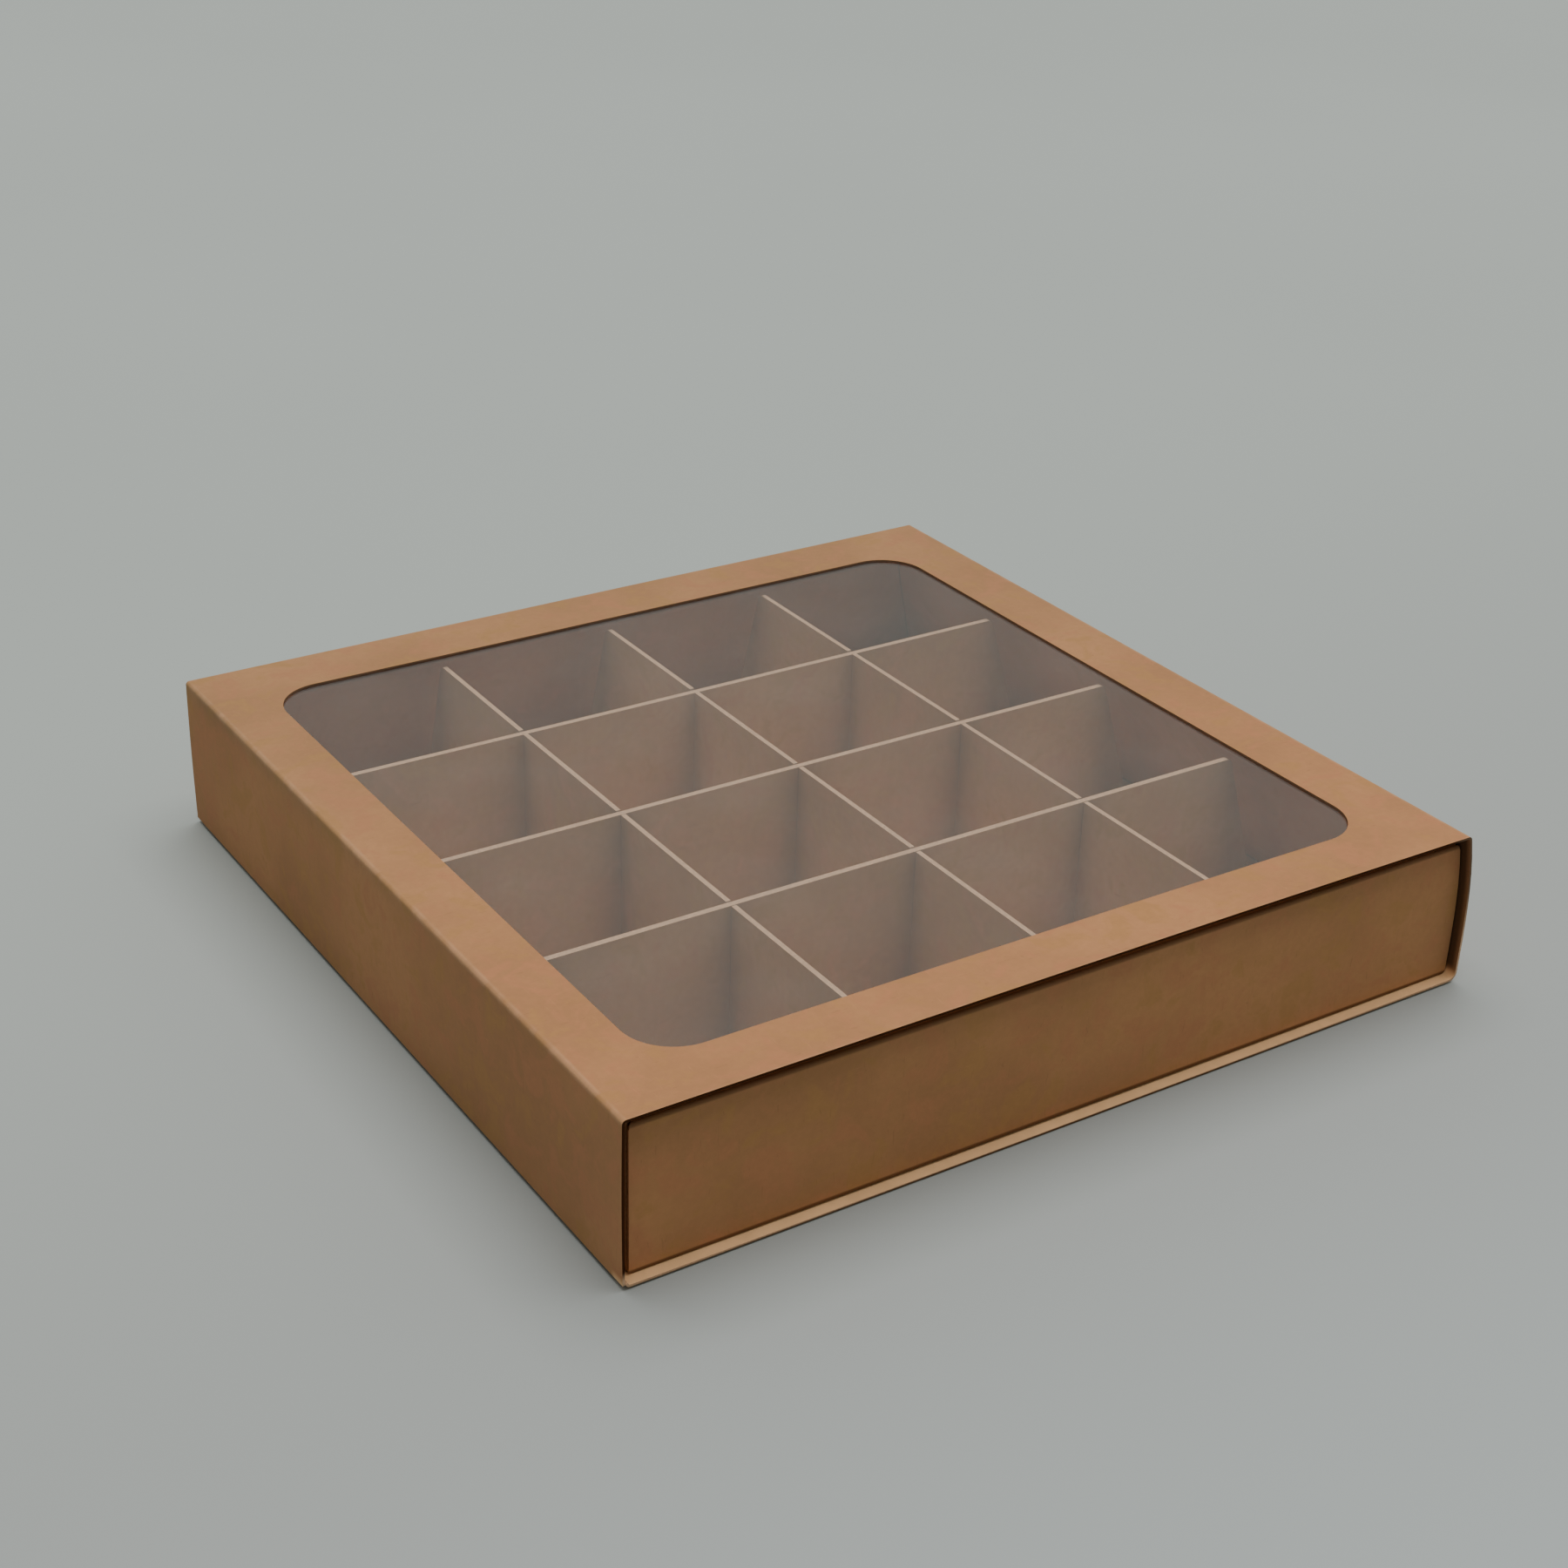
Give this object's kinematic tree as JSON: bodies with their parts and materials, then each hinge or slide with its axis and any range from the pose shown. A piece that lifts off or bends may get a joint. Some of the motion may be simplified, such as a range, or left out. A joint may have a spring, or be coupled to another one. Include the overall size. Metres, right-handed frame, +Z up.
{
  "type": "windowed slide box with cell divider",
  "caption": "Flat square paperboard slide box: an open-ended sleeve with a clear film window round a tray whose slotted strips divide it into a grid of cells.",
  "frame": {"origin": "on the ground under the middle of the sleeve", "axes": "+Z up, +X to the right along the open front end, +Y from the front end to the rear end, along which the tray slides"},
  "size_m": [0.2, 0.2, 0.0357],
  "materials": {
    "kraft_sleeve": "uncoated kraft board, matt, light golden brown",
    "clear_film": "thin clear film, glossy, slightly hazy",
    "kraft_tray": "uncoated kraft board, matt, golden brown",
    "divider_board": "uncoated board, matt, pale brown with a lighter cut edge"
  },
  "bodies": {
    "sleeve": {"sleeve": "kraft_sleeve", "window_film": "clear_film"},
    "tray": {"tray": "kraft_tray", "cross_divider_front": "divider_board", "cross_divider_middle": "divider_board", "cross_divider_rear": "divider_board", "long_divider_left": "divider_board", "long_divider_middle": "divider_board", "long_divider_right": "divider_board"}
  },
  "joints": [
    {"name": "tray_slide", "type": "slide", "parent": "sleeve", "child": "tray", "axis": [0, -1, 0], "range_m": [-0.2, 0.2]}
  ]
}
